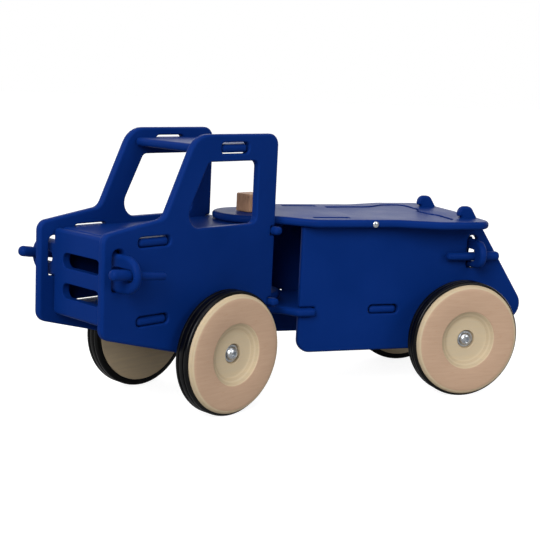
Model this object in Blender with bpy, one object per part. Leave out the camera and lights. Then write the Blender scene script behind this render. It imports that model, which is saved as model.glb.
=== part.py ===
"""A wooden push-along truck that a small child sits on: a steered cab, a seat box and four wheels.

The boards interlock with tenons, slots and cross pins. Lengths are in millimetres; MM turns them into
metres. X points to the front, Y to the truck's left and Z up. The chassis and the cab are each drawn
about the steering pin, with Z = 0 on the floor, and the cab is stored turned to the left.
"""

import math

import bmesh
import bpy
from mathutils import Vector

MM = 0.001
GAP = 0.3
BOARD = 10.0
EDGE = 2.4
BULLNOSE = 4.0
SEAT_EDGE = 3.8
SLIM_EDGE = 1.0
ARC_ERROR = 0.5
LEFT, RIGHT = 1, -1
SIDES = {"left": LEFT, "right": RIGHT}

# Steering: how far the cab is turned to the left as stored.
CAB_TURN = 26.5

# Widths, measured outwards from the centre line.
SIDE_OUT = 63.3
SIDE_IN = SIDE_OUT - BOARD
BETWEEN = SIDE_IN - GAP
TENON_OUT = SIDE_OUT - 0.8

# Levels above the floor.
BODY_BOTTOM = 54.6
CHASSIS_BOARD_Z = 102.8
CAB_FLOOR_Z = 117.3
DECK_Z = 206.5
SEAT_Z = 216.9
SEAT_TOP = SEAT_Z + BOARD
ROOF_Z = 308.3
ROOF_TOP = 330.0
SLOT_HEADROOM = 1.7
ROOF_SLACK = (1.3, 2.3)
SLOT_END_GAP = 2.0
SLOT_CORNER_R = 5.5
TAB_SLOT_TOP_R = 7.0
TENON_CORNER_R = 5.0

# Wheels.
TYRE_R = 75.0
WHEEL_R = 71.5
TYRE_SEAT_R = 67.0
WHEEL_THICK = 26.0
SHOULDER_R, SHOULDER_DEPTH = 63.5, 4.4
TYRE_FRONT, TYRE_BACK, TYRE_BEVEL = 5.9, 25.1, 1.5
FRONT_AXLE_X = 108.7
REAR_AXLE_X = -267.3
FRONT_FACE_Y = 98.3
REAR_FACE_Y = 110.6
AXLE_R = 4.0
BUSH_R = 7.0
RECESS_R, RECESS_FLOOR_R, RECESS_DEPTH = 38.0, 28.5, 7.0
BOLT_WELL_R, BOLT_WELL_DEPTH = 12.0, 11.5
WASHER_R, WASHER_THICK = 10.7, 1.5
BOLT_R, BOLT_HEAD = 8.4, 4.6
WHEEL_SEGMENTS = 28

# Cab outline.
CAB_REAR_X = 17.2
CAB_FRONT_X = 281.3
NOTCH_DEPTH = 7.2
WINDOW_REAR_X, WINDOW_Z = 50.5, (222.6, 298.3)
GRILLE_BACK = 253.2
GRILLE_Z = (116.1, 216.5)
CAB_TENON_X = (188.2, 231.2)
ROOF_TENON_X = (69.6, 110.6)
ROOF_X = (32.0, 148.0)
TONGUE_R = 44.0
EAR_X = (11.0, 24.1)

# Chassis outline, rear of the steering pin.
REAR_FRONT_X = -50.2
CHASSIS_NOTCH = 21.0
SEAT_TENON_X = (-112.5, -66.5)
FIN_NECK_X = (-293.2, -271.0)
FIN_TOP = 242.3
CHASSIS_TENON_X = (-185.4, -147.4)
TAIL_FRONT_X = -286.3
TAIL_TOP = 201.5
HOLD_FRONT_X = -104.0

# Half-disc tabs and the cross pins through them.
TAB_Z = 181.0
FRONT_TAB_R, FRONT_TAB_OUT = 21.0, 97.0
TAIL_TAB_R, TAIL_TAB_OUT = 18.5, 93.4
FRONT_TAB_HOLE = (55.0, 91.4), (174.4, 188.8)
TAIL_TAB_HOLE = (43.0, 78.0), (171.6, 186.8)
FRONT_TAB_SLOT = (252.4, 268.6), (159.7, 207.3)
TAIL_TAB_SLOT = (-296.9, -282.3), (160.6, 204.4)
PIN_HEAD, PIN_NECK, PIN_LENGTH = 17.0, 30.0, 77.0
FRONT_PIN, FRONT_PIN_RADII = (288.0, 84.4, 181.0), (6.2, 4.9, 4.4)
TAIL_PIN, TAIL_PIN_RADII = (-324.8, 70.6, 178.0), (6.2, 5.7, 5.2)

# Steering pin.
DISC_R = 47.5
PEG_SIDE, PEG_RISE = 25.5, 23.0
KINGPIN_R = 6.0

# Flap in the seat.
FLAP_AXIS_X = -139.6
FLAP_FRONT_X, FLAP_REAR_X = -125.0, -253.0
FLAP_HALF, FLAP_FLARE = 51.0, 78.0
FLAP_TOP = SEAT_TOP - 1.2
FLAP_THICK = 8.4
FLAP_GAP = 1.6


def colour(name, rgb, roughness, metallic=0.0):
    """A Principled material."""
    material = bpy.data.materials.new(name)
    material.use_nodes = True
    shader = material.node_tree.nodes["Principled BSDF"]
    shader.inputs["Base Color"].default_value = (*rgb, 1.0)
    shader.inputs["Roughness"].default_value = roughness
    shader.inputs["Metallic"].default_value = metallic
    material.diffuse_color = (*rgb, 1.0)
    return material


def clear_scene():
    for old in list(bpy.data.objects):
        bpy.data.objects.remove(old, do_unlink=True)


def rounded(corners):
    """The closed outline through corners (u, v, radius), each corner cut by an arc of its radius."""
    points = []
    for i, (u, v, radius) in enumerate(corners):
        corner = Vector((u, v))
        to_last = (Vector(corners[i - 1][:2]) - corner).normalized()
        to_next = (Vector(corners[(i + 1) % len(corners)][:2]) - corner).normalized()
        inside = to_last.angle(to_next)
        if radius <= 0:
            points.append(corner)
            continue
        middle = corner + (to_last + to_next).normalized() * radius / math.sin(inside / 2)
        start = corner + to_last * radius / math.tan(inside / 2) - middle
        turn = math.pi - inside
        if start.cross(to_last) > 0:
            turn = -turn
        step = 2 * math.acos(1 - min(ARC_ERROR / radius, 0.29))
        pieces = max(1, math.ceil(abs(turn) / step))
        for k in range(pieces + 1):
            angle = turn * k / pieces
            points.append(middle + Vector((
                start.x * math.cos(angle) - start.y * math.sin(angle),
                start.x * math.sin(angle) + start.y * math.cos(angle),
            )))
    return points


def box_outline(u_range, v_range, radius):
    """A rectangle with rounded corners."""
    (u0, u1), (v0, v1) = sorted(u_range), sorted(v_range)
    return rounded([(u0, v0, radius), (u1, v0, radius), (u1, v1, radius), (u0, v1, radius)])


def circle(u, v, radius, sides=14):
    return [Vector((u + radius * math.cos(math.tau * k / sides), v + radius * math.sin(math.tau * k / sides)))
            for k in range(sides)]


def mirrored(half):
    """The whole outline of a board that is symmetric about v = 0, from its half with v above 0."""
    return half + [(u, -v, radius) for u, v, radius in reversed(half)]


def area(loop):
    return sum(a.cross(b) for a, b in zip(loop, loop[1:] + loop[:1])) / 2


def inset(loop, distance):
    """The loop moved to its left by the distance."""
    moved = []
    for i, point in enumerate(loop):
        before = (point - loop[i - 1]).normalized()
        after = (loop[(i + 1) % len(loop)] - point).normalized()
        left_before = Vector((-before.y, before.x))
        left_after = Vector((-after.y, after.x))
        moved.append(point + (left_before + left_after) * distance / (1 + left_before.dot(left_after)))
    return moved


PLANES = {
    "xy": lambda u, v, w: (u, v, w),
    "xz": lambda u, v, w: (u, w, v),
    "yz": lambda u, v, w: (w, u, v),
}


def finish(mesh_builder, name, material, parent, origin):
    """Turns the bmesh into an object under the parent, with its origin at the given point."""
    bmesh.ops.recalc_face_normals(mesh_builder, faces=mesh_builder.faces)
    bmesh.ops.translate(mesh_builder, verts=mesh_builder.verts, vec=-Vector(origin))
    bmesh.ops.scale(mesh_builder, verts=mesh_builder.verts, vec=(MM, MM, MM))
    mesh = bpy.data.meshes.new(name)
    mesh_builder.to_mesh(mesh)
    mesh_builder.free()
    mesh.materials.append(material)
    piece = bpy.data.objects.new(name, mesh)
    bpy.context.scene.collection.objects.link(piece)
    piece.parent = parent
    piece.location = Vector(origin) * MM
    return piece


def board(name, plane, outline, holes, span, material, parent, edge=EDGE, hole_edge=EDGE, origin=(0, 0, 0)):
    """A flat board: the outline less its holes, as thick as the span, with chamfered rims."""
    low, high = sorted(span)
    builder = bmesh.new()
    rims = {low: [], high: []}
    for number, loop in enumerate([outline, *holes]):
        if (area(loop) > 0) != (number == 0):
            loop = loop[::-1]
        cut = hole_edge if number else edge
        rings = []
        for w, distance in ((low, cut), (low + cut, 0), (high - cut, 0), (high, cut)):
            ring = inset(loop, distance)
            rings.append([builder.verts.new(PLANES[plane](p.x, p.y, w)) for p in ring])
        for lower, upper in zip(rings, rings[1:]):
            for i in range(len(loop)):
                j = (i + 1) % len(loop)
                builder.faces.new((lower[i], lower[j], upper[j], upper[i]))
        for w, ring in ((low, rings[0]), (high, rings[-1])):
            rims[w] += [builder.edges.get((ring[i - 1], ring[i])) for i in range(len(ring))]
    for edges in rims.values():
        bmesh.ops.triangle_fill(builder, edges=edges, use_beauty=True)
    return finish(builder, name, material, parent, origin)


def turned(name, profile, axis, material, parent, origin, segments):
    """A round piece: the profile of (radius, distance along the axis) turned about the origin."""
    builder = bmesh.new()
    rings = []
    for radius, along in profile:
        ring = []
        for k in range(segments if radius > 0 else 1):
            angle = math.tau * k / segments
            across, up = radius * math.cos(angle), radius * math.sin(angle)
            place = {"x": (along, across, up), "y": (across, along, up), "z": (across, up, along)}[axis]
            ring.append(builder.verts.new(Vector(place) + Vector(origin)))
        rings.append(ring)
    closed = profile[0][0] > 0
    for inner, outer in zip(rings, rings[1:] + (rings[:1] if closed else [])):
        for k in range(segments):
            n = (k + 1) % segments
            corners = [inner[k % len(inner)], inner[n % len(inner)], outer[n % len(outer)], outer[k % len(outer)]]
            builder.faces.new(list(dict.fromkeys(corners)))
    piece = finish(builder, name, material, parent, origin)
    piece.data.shade_smooth()
    piece.data.set_sharp_from_angle(angle=math.radians(35))
    return piece


def tab_slot(x_range, z_range):
    """The tall slot that a half-disc tab passes through, rounder at its top."""
    (rear, front), (bottom, top) = x_range, z_range
    return rounded([
        (rear, bottom, SLOT_CORNER_R), (front, bottom, SLOT_CORNER_R), (front, top, TAB_SLOT_TOP_R),
        (rear, top, TAB_SLOT_TOP_R),
    ])


def slot(tenon_x, z, below=GAP, above=SLOT_HEADROOM):
    """A slot in a side board for the tenon that starts at height z."""
    ends = (tenon_x[0] - SLOT_END_GAP, tenon_x[1] + SLOT_END_GAP)
    return box_outline(ends, (z - below, z + BOARD + above), SLOT_CORNER_R)


def tenon(x_range):
    """The half outline of a tenon on a level board, from the front end to the rear end."""
    rear, front = sorted(x_range)
    corner = TENON_CORNER_R
    return [(front, BETWEEN, 0), (front, TENON_OUT, corner), (rear, TENON_OUT, corner), (rear, BETWEEN, 0)]


def tabbed_board(name, back_x, z_range, tab_r, tab_out, tab_hole, openings, material, parent):
    """An upright cross board with a half-disc tab at each end and a hole in each tab for a pin."""
    bottom, top = z_range
    tab_bottom, tab_top = TAB_Z - tab_r, TAB_Z + tab_r
    corner = tab_r - 0.1
    right = [(BETWEEN, bottom, 5), (BETWEEN, tab_bottom, 0), (tab_out, tab_bottom, corner), (tab_out, tab_top, corner)]
    if top > tab_top:
        right += [(BETWEEN, tab_top, 0), (BETWEEN, top, 5 if top > tab_top + 5 else 0)]
    left = [(-y, z, radius) for y, z, radius in reversed(right)]
    (inner, outer), hole_z = tab_hole
    holes = [box_outline((side * inner, side * outer), hole_z, 7) for side in SIDES.values()]
    span = (back_x, back_x + BOARD)
    return board(name, "yz", rounded(right + left), holes + openings, span, material, parent, BULLNOSE, SLIM_EDGE)


def cross_pin(name, at, radii, direction, side, material, parent):
    """A pin along X with a round head at the given place; direction is the way from its head to its tip."""
    head_x, y, z = at
    head_r, neck_r, tip_r = radii
    profile = [
        (0, 0), (head_r * 0.7, 0.9), (head_r, 3.6), (head_r, PIN_HEAD), (neck_r, PIN_NECK),
        (tip_r, PIN_LENGTH - 3), (tip_r * 0.6, PIN_LENGTH), (0, PIN_LENGTH),
    ]
    profile = [(radius, direction * along) for radius, along in profile]
    return turned(name, profile, "x", material, parent, (head_x, side * y, z), 12)


def cab_side(name, side, material, parent):
    """One side of the cab: bonnet, slanted pillar, window, and slots for the cross boards."""
    def notch(z):
        """The open notch in the rear edge for the ear of a level board."""
        front = CAB_REAR_X + NOTCH_DEPTH
        return [(CAB_REAR_X, z - GAP, 1), (front, z - GAP, 1), (front, z + BOARD + GAP, 1),
                (CAB_REAR_X, z + BOARD + GAP, 1)]

    outline = rounded([
        (81, BODY_BOTTOM, 50), (CAB_FRONT_X, 109.5, 14), (CAB_FRONT_X, 224.2, 12), (196, 237, 14),
        (151.4, ROOF_TOP, 30), (CAB_REAR_X, ROOF_TOP, 14), *reversed(notch(DECK_Z)),
        *reversed(notch(CAB_FLOOR_Z)), (CAB_REAR_X, BODY_BOTTOM, 14),
    ])
    sill, lintel = WINDOW_Z
    window = rounded([
        (WINDOW_REAR_X, sill, 9), (170.7, sill, 17.5), (131.4, lintel, 8), (WINDOW_REAR_X, lintel, 8),
    ])
    holes = [
        window, slot(ROOF_TENON_X, ROOF_Z, *ROOF_SLACK), slot(CAB_TENON_X, DECK_Z),
        slot(CAB_TENON_X, CAB_FLOOR_Z), tab_slot(*FRONT_TAB_SLOT),
        circle(FRONT_AXLE_X, TYRE_R, AXLE_R + 0.6, 12),
    ]
    return board(name, "xz", outline, holes, (side * SIDE_IN, side * SIDE_OUT), material, parent)


def build_cab(paint, parent):
    for word, side in SIDES.items():
        cab_side("cab_side_" + word, side, paint, parent)
    roof_rear, roof_front = ROOF_X
    roof = rounded(mirrored([(roof_front, BETWEEN, 6), *tenon(ROOF_TENON_X), (roof_rear, BETWEEN, 6)]))
    board("roof_board", "xy", roof, [], (ROOF_Z, ROOF_Z + BOARD), paint, parent, BULLNOSE)
    ear = SIDE_OUT + 8.5
    ear_rear, ear_front = EAR_X
    level = rounded(mirrored([
        (GRILLE_BACK - 0.6, BETWEEN, 5), *tenon(CAB_TENON_X), (ear_front, BETWEEN, 0), (ear_front, ear, 5),
        (ear_rear, ear, 5), (ear_rear, TONGUE_R, 6), (-TONGUE_R, TONGUE_R, TONGUE_R - 1),
    ]))
    pin_hole = circle(0, 0, KINGPIN_R + GAP)
    for name, z in (("deck_board", DECK_Z), ("cab_floor_board", CAB_FLOOR_Z)):
        board(name, "xy", level, [pin_hole], (z, z + BOARD), paint, parent, BULLNOSE, SLIM_EDGE)
    openings = [box_outline((-34, 34), z_range, 8) for z_range in ((173.2, 190.8), (138.2, 155.8))]
    tabbed_board(
        "grille_board", GRILLE_BACK, GRILLE_Z, FRONT_TAB_R, FRONT_TAB_OUT, FRONT_TAB_HOLE, openings, paint, parent
    )
    for word, side in SIDES.items():
        cross_pin("grille_pin_" + word, FRONT_PIN, FRONT_PIN_RADII, -1, side, paint, parent)


def build_steering_pin(wood, steel, nylon, parent):
    """The steering pin: a square wooden head, a rod down through four boards, a spacer and a nut."""
    half = PEG_SIDE / 2
    head = box_outline((-half, half), (-half, half), 2)
    board("steering_peg", "xy", head, [], (SEAT_TOP + GAP, SEAT_TOP + GAP + PEG_RISE), wood, parent, edge=1.5)
    nut_top = CHASSIS_BOARD_Z - GAP
    rod = [(0, SEAT_TOP), (KINGPIN_R, SEAT_TOP), (KINGPIN_R, nut_top - 15), (0, nut_top - 15)]
    turned("steering_rod", rod, "z", steel, parent, (0, 0, 0), 16)
    nut_hole = [circle(0, 0, KINGPIN_R + GAP)]
    board("steering_nut", "xy", circle(0, 0, 12, 6), nut_hole, (nut_top - 9, nut_top), steel, parent, edge=0.8)
    low, high = CHASSIS_BOARD_Z + BOARD + GAP, CAB_FLOOR_Z - GAP
    spacer = [(KINGPIN_R + GAP, low), (24, low), (24, high), (KINGPIN_R + GAP, high)]
    turned("steering_spacer", spacer, "z", nylon, parent, (0, 0, 0), 20)


def rear_side(name, side, material, parent):
    """One side of the seat box: a tenon and a fin through the seat, and a slanted rear edge."""
    top = SEAT_Z - GAP
    neck_rear, neck_front = FIN_NECK_X
    notch_front = CHASSIS_BOARD_Z - GAP
    notch_back = REAR_FRONT_X - CHASSIS_NOTCH
    outline = rounded([
        (REAR_FRONT_X, BODY_BOTTOM, 17), (REAR_FRONT_X, notch_front, 1), (notch_back, notch_front, 1),
        (notch_back, notch_front + BOARD + 2 * GAP, 1), (REAR_FRONT_X, notch_front + BOARD + 2 * GAP, 1),
        (REAR_FRONT_X, top, 3), (SEAT_TENON_X[1], top, 0), (SEAT_TENON_X[1], SEAT_TOP - 0.8, 3),
        (SEAT_TENON_X[0], SEAT_TOP - 0.8, 3), (SEAT_TENON_X[0], top, 0), (neck_front, top, 0),
        (neck_front, SEAT_TOP + 1.8, 2), (-266.2, SEAT_TOP + 2.6, 2.5), (-267.2, FIN_TOP, 9),
        (-284.0, FIN_TOP, 9),
        (neck_rear, SEAT_TOP + 1, 4), (neck_rear, top, 0), (-301.4, top, 0), (-382, 98, 22),
        (-238, BODY_BOTTOM, 60),
    ])
    holes = [
        slot(CHASSIS_TENON_X, CHASSIS_BOARD_Z), tab_slot(*TAIL_TAB_SLOT),
        circle(REAR_AXLE_X, TYRE_R, AXLE_R + 0.6, 12),
    ]
    return board(name, "xz", outline, holes, (side * SIDE_IN, side * SIDE_OUT), material, parent)


def flap_half(grow):
    """Half of the flap's outline, grown by a margin for the opening it lies in."""
    return [
        (FLAP_FRONT_X + grow, FLAP_HALF + grow, 5), (-192, FLAP_HALF + 4 + grow, 30),
        (-222, FLAP_FLARE + grow, 14), (FLAP_REAR_X - grow, FLAP_FLARE + grow, 12),
        (FLAP_REAR_X - grow, 28, 10), (FLAP_REAR_X + 8 - grow, 14, 10),
    ]


def build_chassis(paint, parent):
    for word, side in SIDES.items():
        rear_side("rear_side_" + word, side, paint, parent)
    seat = rounded(mirrored([
        (DISC_R, DISC_R, DISC_R - 0.1), (-20, DISC_R, 16), (-60, 81.4, 24), (-170, 81.4, 40),
        (-222, 101.8, 30), (-297.5, 101.8, 24), (-301.5, 20, 40),
    ]))
    openings = [rounded(mirrored(flap_half(FLAP_GAP))), circle(0, 0, KINGPIN_R + GAP)]
    for side in SIDES.values():
        across = (side * (SIDE_IN - GAP - 0.2), side * (SIDE_OUT + GAP + 0.2))
        openings.append(box_outline((SEAT_TENON_X[0] - 1.5, SEAT_TENON_X[1] + 1.5), across, 3))
        openings.append(box_outline((FIN_NECK_X[0] - 0.7, FIN_NECK_X[1] + 0.7), across, 1.5))
    board("seat_board", "xy", seat, openings, (SEAT_Z, SEAT_TOP), paint, parent, SEAT_EDGE, SLIM_EDGE)
    ear = SIDE_OUT + 9
    ear_rear = REAR_FRONT_X - CHASSIS_NOTCH + GAP
    chassis = rounded(mirrored([
        (DISC_R, DISC_R, DISC_R - 0.1), (-26, DISC_R, 20), (-46, ear, 9), (ear_rear, ear, 5),
        (ear_rear, BETWEEN, 0), *tenon(CHASSIS_TENON_X), (TAIL_FRONT_X + GAP, BETWEEN, 5),
    ]))
    level = (CHASSIS_BOARD_Z, CHASSIS_BOARD_Z + BOARD)
    pin_hole = circle(0, 0, KINGPIN_R + GAP)
    board("chassis_board", "xy", chassis, [pin_hole], level, paint, parent, BULLNOSE, SLIM_EDGE)
    wall = box_outline((-BETWEEN, BETWEEN), (level[1] + GAP, SEAT_Z - GAP), 2)
    board("hold_front_wall", "yz", wall, [], (HOLD_FRONT_X - BOARD, HOLD_FRONT_X), paint, parent)
    tail_back, tail_z = TAIL_FRONT_X - BOARD, (level[1] + GAP, TAIL_TOP)
    tabbed_board("tail_board", tail_back, tail_z, TAIL_TAB_R, TAIL_TAB_OUT, TAIL_TAB_HOLE, [], paint, parent)
    for word, side in SIDES.items():
        cross_pin("tail_pin_" + word, TAIL_PIN, TAIL_PIN_RADII, 1, side, paint, parent)


def build_flap(paint, steel, parent):
    """The flap, and the two screws in the seat's edges that it turns on."""
    axis_z = FLAP_TOP - FLAP_THICK / 2
    outline = rounded(mirrored(flap_half(0)))
    level = (FLAP_TOP - FLAP_THICK, FLAP_TOP)
    board("seat_flap", "xy", outline, [], level, paint, parent, edge=1.2, origin=(FLAP_AXIS_X, 0, axis_z))
    for word, side in SIDES.items():
        head = [(0, side * 1.2), (3.4, side * 1.0), (4.2, 0), (4.2, side * -0.4), (0, side * -0.4)]
        turned("flap_screw_" + word, head, "y", steel, parent, (FLAP_AXIS_X, side * 82.8, axis_z), 12)


def wheel_set(corner, side, axle_x, face_y, materials, parent):
    """A wheel with its tyre, bush, washer, bolt and the spacer behind it."""
    wood, rubber, nylon, steel = materials
    centre = (axle_x, side * face_y, TYRE_R)

    def turn(name, profile, material, segments):
        """Distances along the axle run inwards from the wheel's outer face."""
        along = [(radius, -side * depth) for radius, depth in profile]
        return turned(f"{name}_{corner}", along, "y", material, parent, centre, segments)

    tyre_front = TYRE_FRONT - GAP
    turn("wheel", [
        (BUSH_R + GAP, WHEEL_THICK), (BUSH_R + GAP, BOLT_WELL_DEPTH), (BOLT_WELL_R, BOLT_WELL_DEPTH),
        (BOLT_WELL_R, RECESS_DEPTH), (RECESS_FLOOR_R, RECESS_DEPTH), (RECESS_R, 0), (SHOULDER_R, 0),
        (69.2, SHOULDER_DEPTH * 0.3), (WHEEL_R, SHOULDER_DEPTH), (WHEEL_R, tyre_front), (TYRE_SEAT_R, tyre_front),
        (TYRE_SEAT_R, WHEEL_THICK),
    ], wood, WHEEL_SEGMENTS)
    tread = (TYRE_FRONT + TYRE_BEVEL, TYRE_BACK - TYRE_BEVEL)
    turn("tyre", [
        (TYRE_SEAT_R + GAP, TYRE_FRONT), (TYRE_R - TYRE_BEVEL, TYRE_FRONT), (TYRE_R, tread[0]),
        (TYRE_R, tread[1]), (TYRE_R - TYRE_BEVEL, TYRE_BACK), (TYRE_SEAT_R + GAP, TYRE_BACK),
    ], rubber, WHEEL_SEGMENTS)
    turn("bush", [
        (AXLE_R + GAP, WHEEL_THICK), (AXLE_R + GAP, BOLT_WELL_DEPTH), (BUSH_R, BOLT_WELL_DEPTH),
        (BUSH_R, WHEEL_THICK),
    ], nylon, 14)
    washer_top = BOLT_WELL_DEPTH - GAP - WASHER_THICK
    turn("washer", [
        (AXLE_R + GAP, washer_top), (WASHER_R, washer_top), (WASHER_R, washer_top + WASHER_THICK),
        (AXLE_R + GAP, washer_top + WASHER_THICK),
    ], steel, 16)
    head = washer_top - GAP
    turn("bolt", [
        (0, head - BOLT_HEAD), (BOLT_R * 0.6, head - BOLT_HEAD + 0.5), (BOLT_R, head - 1.6), (BOLT_R, head), (0, head),
    ], steel, 14)
    inner, outer = face_y - WHEEL_THICK - GAP, SIDE_OUT + GAP
    turn("spacer", [
        (AXLE_R + GAP, face_y - inner), (11, face_y - inner), (11, face_y - outer), (AXLE_R + GAP, face_y - outer),
    ], nylon, 16)
    return head


def axle(name, x, face_y, depth, steel, parent):
    """The plain rod between the heads of its two bolts."""
    end = face_y - depth - GAP
    turned(name, [(0, -end), (AXLE_R, -end), (AXLE_R, end), (0, end)], "y", steel, parent, (x, 0, TYRE_R), 12)


def stand_on_origin(root):
    """Moves the truck so that its box stands centred on the origin."""
    bpy.context.view_layer.update()
    corners = [piece.matrix_world @ vertex.co for piece in bpy.data.objects if piece.type == "MESH"
               for vertex in piece.data.vertices]
    low = [min(corner[i] for corner in corners) for i in range(3)]
    high = [max(corner[i] for corner in corners) for i in range(3)]
    root.location = (-(low[0] + high[0]) / 2, -(low[1] + high[1]) / 2, -low[2])


def main():
    clear_scene()
    paint = colour("blue_paint", (0.011, 0.030, 0.155), 0.42)
    beech = colour("wheel_wood", (0.52, 0.34, 0.22), 0.55)
    peg = colour("peg_wood", (0.20, 0.10, 0.055), 0.55)
    rubber = colour("tyre_rubber", (0.012, 0.012, 0.014), 0.55)
    steel = colour("zinc_steel", (0.62, 0.63, 0.65), 0.3, 1.0)
    nylon = colour("nylon", (0.72, 0.70, 0.66), 0.5)
    root = bpy.data.objects.new("truck", None)
    cab = bpy.data.objects.new("cab_turn", None)
    for empty in (root, cab):
        bpy.context.scene.collection.objects.link(empty)
    cab.parent = root
    cab.rotation_euler.z = math.radians(CAB_TURN)

    build_cab(paint, cab)
    build_steering_pin(peg, steel, nylon, cab)
    build_chassis(paint, root)
    build_flap(paint, steel, root)
    ends = (("front", FRONT_AXLE_X, FRONT_FACE_Y, cab), ("rear", REAR_AXLE_X, REAR_FACE_Y, root))
    for end, x, face_y, parent in ends:
        for word, side in SIDES.items():
            depth = wheel_set(f"{end}_{word}", side, x, face_y, (beech, rubber, nylon, steel), parent)
        axle(end + "_axle", x, face_y, depth, steel, parent)
    stand_on_origin(root)


main()
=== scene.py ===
"""The finished look of a push-along truck: painted boards, plywood wheels, rubber tyres and steel bolts.

Every piece is drawn in millimetres about the steering pin, with Z = 0 on the floor, X to the front and Y to
the truck's left. The cab's pieces are drawn straight ahead and then turned with the cab.
"""

import math

import bmesh
import bpy
from mathutils import Matrix, Vector


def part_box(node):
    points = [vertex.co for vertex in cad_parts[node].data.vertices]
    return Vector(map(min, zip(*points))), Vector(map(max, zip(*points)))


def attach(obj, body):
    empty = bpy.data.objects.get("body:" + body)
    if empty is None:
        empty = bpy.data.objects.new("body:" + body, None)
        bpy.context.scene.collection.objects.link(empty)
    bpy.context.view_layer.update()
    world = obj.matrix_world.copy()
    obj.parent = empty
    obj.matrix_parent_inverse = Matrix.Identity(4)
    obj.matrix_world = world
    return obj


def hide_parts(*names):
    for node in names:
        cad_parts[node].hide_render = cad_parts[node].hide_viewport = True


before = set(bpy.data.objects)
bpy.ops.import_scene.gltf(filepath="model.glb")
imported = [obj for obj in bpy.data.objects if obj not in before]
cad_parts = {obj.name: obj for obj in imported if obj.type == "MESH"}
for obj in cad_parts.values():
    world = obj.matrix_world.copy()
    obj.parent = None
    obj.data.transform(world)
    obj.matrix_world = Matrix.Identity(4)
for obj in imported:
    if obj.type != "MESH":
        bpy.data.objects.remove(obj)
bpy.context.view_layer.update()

MM = 0.001
GAP = 0.3
BOARD = 10.0
ARC_STEP = math.radians(11)
LEFT, RIGHT = 1, -1
SIDES = {"left": LEFT, "right": RIGHT}
CAB_TURN = 26.5

# Rounding of the rims.
EDGE = 3.4
BULLNOSE = 4.5
SEAT_EDGE = 4.2
SLOT_RIM = 2.2
SLIM_RIM = 0.9
RIM_STEPS = 6

# Widths, measured outwards from the centre line.
SIDE_OUT = 63.3
SIDE_IN = SIDE_OUT - BOARD
BETWEEN = SIDE_IN - GAP
TENON_OUT = SIDE_OUT - 0.8

# Levels above the floor.
BODY_BOTTOM = 54.6
CHASSIS_BOARD_Z = 102.8
CAB_FLOOR_Z = 117.3
DECK_Z = 206.5
SEAT_Z = 216.9
SEAT_TOP = SEAT_Z + BOARD
ROOF_Z = 308.3
ROOF_TOP = 330.0
SLOT_HEADROOM = 1.7
ROOF_SLACK = (1.3, 2.3)
SLOT_END_GAP = 2.0
SLOT_CORNER_R = 5.5
TAB_SLOT_TOP_R = 7.0
TENON_CORNER_R = 5.0
BOARD_CORNER_R = 5.0

# Wheels.
TYRE_R = 75.0
WHEEL_R = 71.5
TYRE_SEAT_R = 67.0
WHEEL_THICK = 26.0
SHOULDER_R, SHOULDER_DEPTH = 63.5, 4.4
TYRE_FRONT, TYRE_BACK = 5.9, 25.1
TYRE_GROOVES = (11.6, 19.4)
GROOVE = ((0, -1.5), (0.3, -0.9), (1.5, -0.4), (1.5, 0.4), (0.3, 0.9), (0, 1.5))
SHOULDER_STEPS = 8
FRONT_AXLE_X = 108.7
REAR_AXLE_X = -267.3
FRONT_FACE_Y = 98.3
REAR_FACE_Y = 110.6
AXLE_R = 4.0
BUSH_R = 7.0
RECESS_R, RECESS_FLOOR_R, RECESS_DEPTH = 38.0, 28.5, 7.0
BOLT_WELL_R, BOLT_WELL_DEPTH = 12.0, 11.5
WASHER_R, WASHER_THICK = 10.6, 1.5
BOLT_R, BOLT_HEAD, SOCKET_FLATS = 8.4, 5.2, 6.0
SPACER_R = 11.0
WHEEL_SIDES = 112

# Cab outline.
CAB_REAR_X = 17.2
CAB_FRONT_X = 281.3
NOTCH_DEPTH = 7.2
WINDOW_REAR_X, WINDOW_Z = 50.5, (222.6, 298.3)
GRILLE_BACK = 253.2
GRILLE_Z = (116.1, 216.5)
GRILLE_OPENING_HALF, GRILLE_OPENINGS_Z = 34, ((173.2, 190.8), (138.2, 155.8))
CAB_TENON_X = (188.2, 231.2)
ROOF_TENON_X = (69.6, 110.6)
ROOF_X = (32.0, 148.0)
TONGUE_R = 44.0
EAR_X = (11.0, 24.1)
CAB_EAR_OUT = SIDE_OUT + 8.5

# Chassis outline, rear of the steering pin.
REAR_FRONT_X = -50.2
CHASSIS_NOTCH = 21.0
CHASSIS_EAR_OUT = SIDE_OUT + 9
SEAT_TENON_X = (-112.5, -66.5)
FIN_NECK_X = (-293.2, -271.0)
FIN_TOP = 242.3
CHASSIS_TENON_X = (-185.4, -147.4)
TAIL_FRONT_X = -286.3
TAIL_TOP = 201.5
HOLD_FRONT_X = -104.0

# Half-disc tabs and the cross pins through them.
TAB_Z = 181.0
FRONT_TAB_R, FRONT_TAB_OUT = 21.0, 97.0
TAIL_TAB_R, TAIL_TAB_OUT = 18.5, 93.4
FRONT_TAB_HOLE = (55.0, 91.4), (174.4, 188.8)
TAIL_TAB_HOLE = (43.0, 78.0), (171.6, 186.8)
FRONT_TAB_SLOT = (252.4, 268.6), (159.7, 207.3)
TAIL_TAB_SLOT = (-296.9, -282.3), (160.6, 204.4)
PIN_HEAD, PIN_NECK, PIN_LENGTH = 17.0, 30.0, 77.0
FRONT_PIN, FRONT_PIN_RADII = (288.0, 84.4, 181.0), (6.2, 4.9, 4.4)
TAIL_PIN, TAIL_PIN_RADII = (-324.8, 70.6, 178.0), (6.2, 5.7, 5.2)
FRONT_PIN_RISE = {"left": 6.5, "right": 9.0}

# Steering pin.
DISC_R = 47.5
PEG_SIDE, PEG_RISE = 25.5, 23.0
KINGPIN_R = 6.0
NUT_R, NUT_HIGH, ROD_BELOW = 12, 9, 15
STEERING_SPACER_R = 24

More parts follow.
